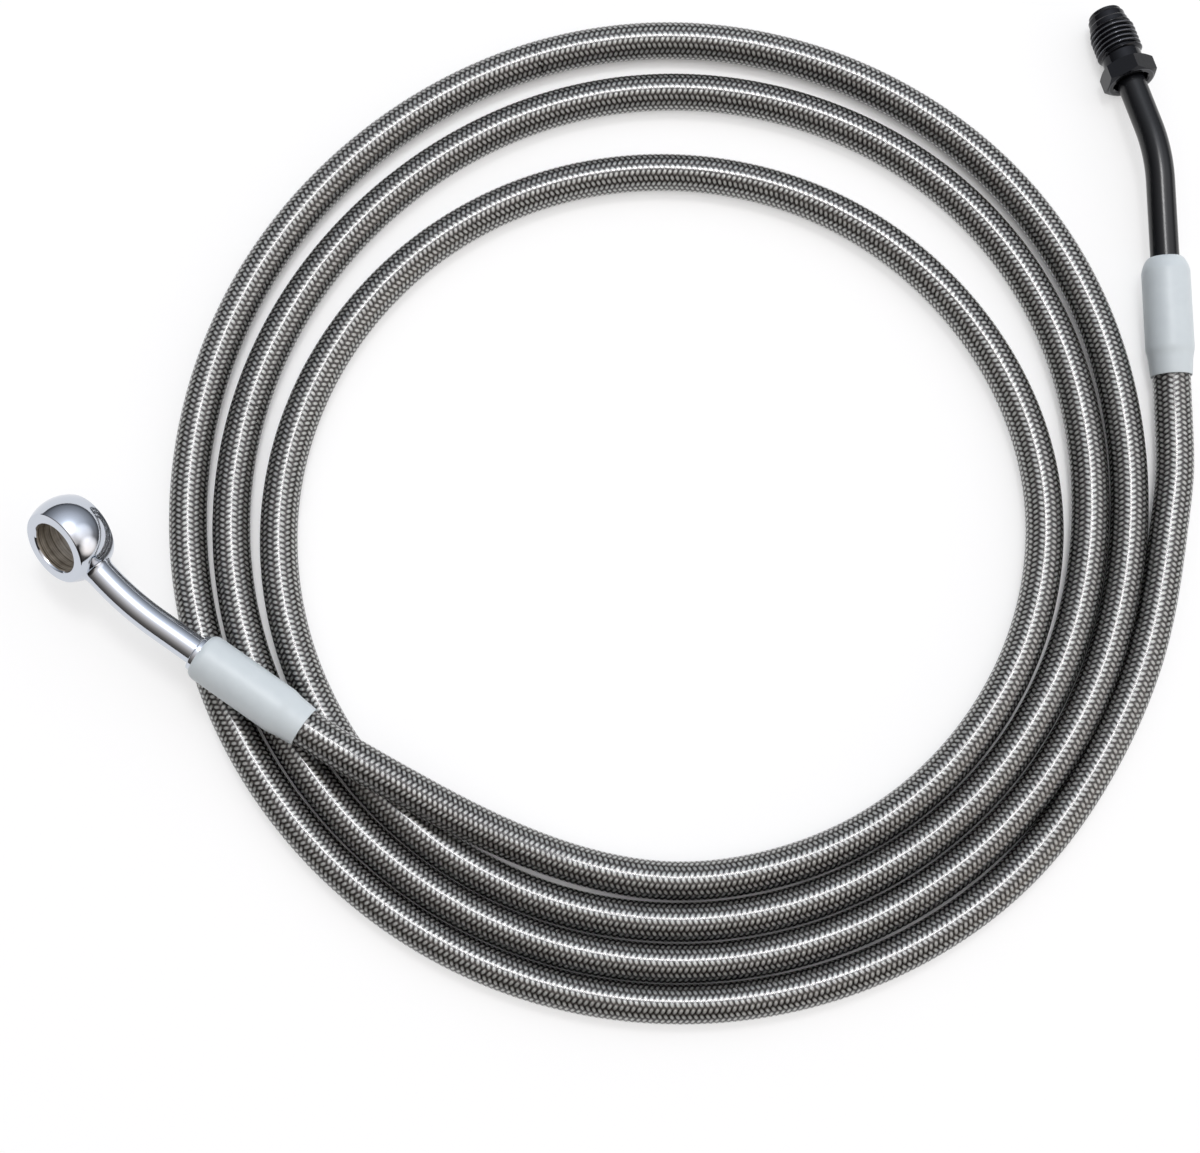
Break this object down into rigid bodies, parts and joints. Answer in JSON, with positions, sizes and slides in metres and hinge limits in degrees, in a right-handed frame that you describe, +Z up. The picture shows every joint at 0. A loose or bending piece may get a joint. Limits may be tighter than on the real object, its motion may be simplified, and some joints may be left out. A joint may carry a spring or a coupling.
{
  "type": "braided clutch hose",
  "caption": "Coiled clear-covered steel-braided clutch hose with a plated banjo eye at one end and a black tube with a loose flare nut at the other.",
  "frame": {"origin": "on the floor, under the middle of the coiled hose's bounding box", "axes": "+Z up from the floor; +X towards the flare nut's side, away from the banjo eye; +Y the way the flare nut points"},
  "size_m": [0.2312, 0.208, 0.025],
  "materials": {
    "chrome_plate": "bright plated steel",
    "plain_steel": "turned and crimped steel",
    "sleeve_plastic": "pale grey shrunk sleeve, semi-matt",
    "clear_cover": "clear smooth plastic",
    "braid_wire": "bright stainless wire, woven",
    "liner_plastic": "smooth dark filled plastic",
    "black_steel": "black coated steel, satin"
  },
  "bodies": {
    "hose": {"hose_cover": "clear_cover", "hose_braid": "braid_wire", "hose_liner": "liner_plastic", "banjo_eye": "chrome_plate", "banjo_tube": "chrome_plate", "banjo_insert": "plain_steel", "banjo_ferrule": "plain_steel", "banjo_sleeve": "sleeve_plastic", "flare_sleeve": "sleeve_plastic", "flare_ferrule": "plain_steel", "flare_insert": "plain_steel", "flare_tube": "black_steel"},
    "nut": {"flare_nut": "black_steel"}
  },
  "joints": [
    {"name": "flare_nut_spin", "type": "hinge", "parent": "hose", "child": "nut", "pos_m": [0.10358, 0.09345, 0.00536], "axis": [-0.2563, 0.9585, -0.1247], "continuous": true}
  ]
}
